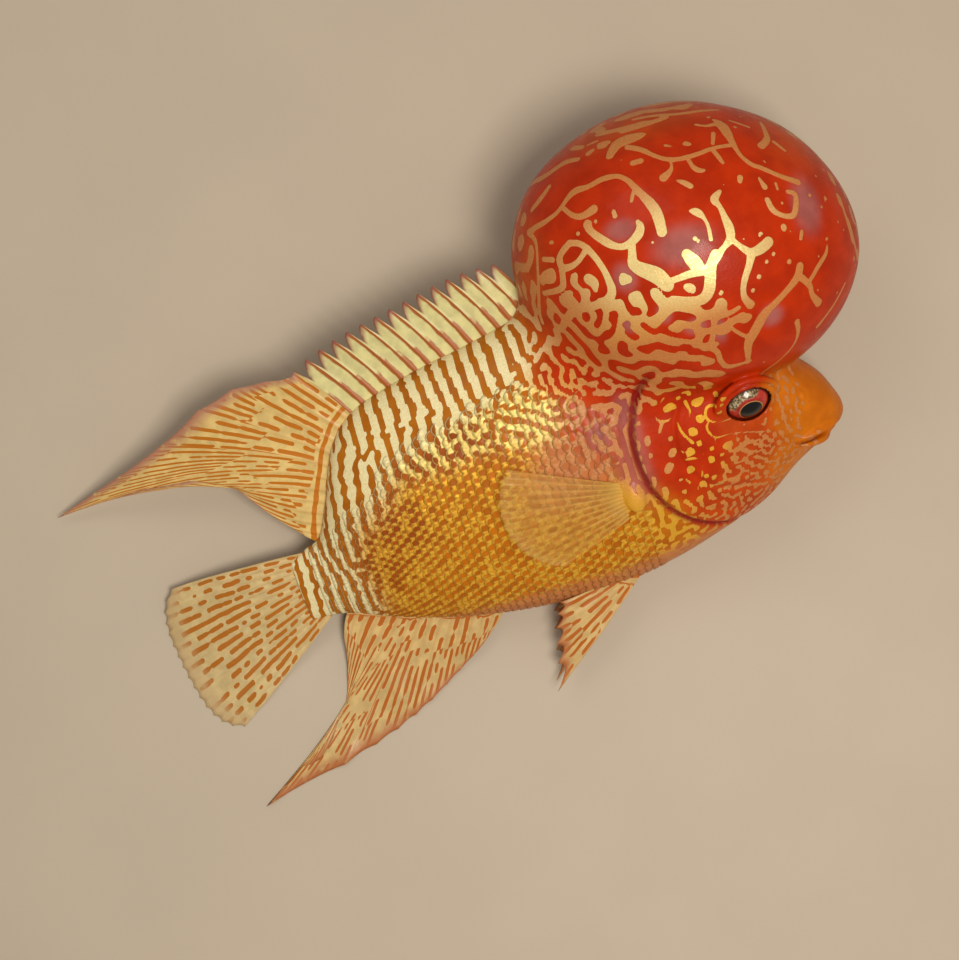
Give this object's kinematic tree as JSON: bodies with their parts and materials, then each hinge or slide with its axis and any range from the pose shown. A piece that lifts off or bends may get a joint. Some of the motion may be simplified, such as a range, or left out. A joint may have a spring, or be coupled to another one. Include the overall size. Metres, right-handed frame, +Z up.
{
  "type": "flowerhorn cichlid model",
  "caption": "Life-size flowerhorn cichlid with a huge round forehead hump and long trailing fins, lying on its left side.",
  "frame": {"origin": "on the floor, at the middle of the small flat on which the forehead hump rests", "axes": "+X along the fish towards its snout, +Y towards the edge of its back, +Z up, which is its right side"},
  "size_m": [0.3074, 0.2006, 0.0998],
  "materials": {
    "hump": "wet red skin with a pale gold vein pattern",
    "face": "wet orange and red skin with gold lines",
    "flank": "wet golden scales, each with a brown-orange spot",
    "fin": "thin cream fin skin with orange dashes between the rays",
    "eye": "wet eye with a red ring and a black pupil"
  },
  "bodies": {
    "root": {"hump": "hump", "head": "face", "lower_jaw": "face", "gill_cover_right": "face", "gill_cover_left": "face", "torso": "flank", "tail_stem": "flank", "dorsal_fin_spiny": "fin", "dorsal_fin_soft": "fin", "tail_fin": "fin", "anal_fin": "fin", "pectoral_fin_right": "fin", "pectoral_fin_left": "fin", "pelvic_fin_right": "fin", "pelvic_fin_left": "fin", "eye_right": "eye", "eye_left": "eye"}
  },
  "joints": []
}
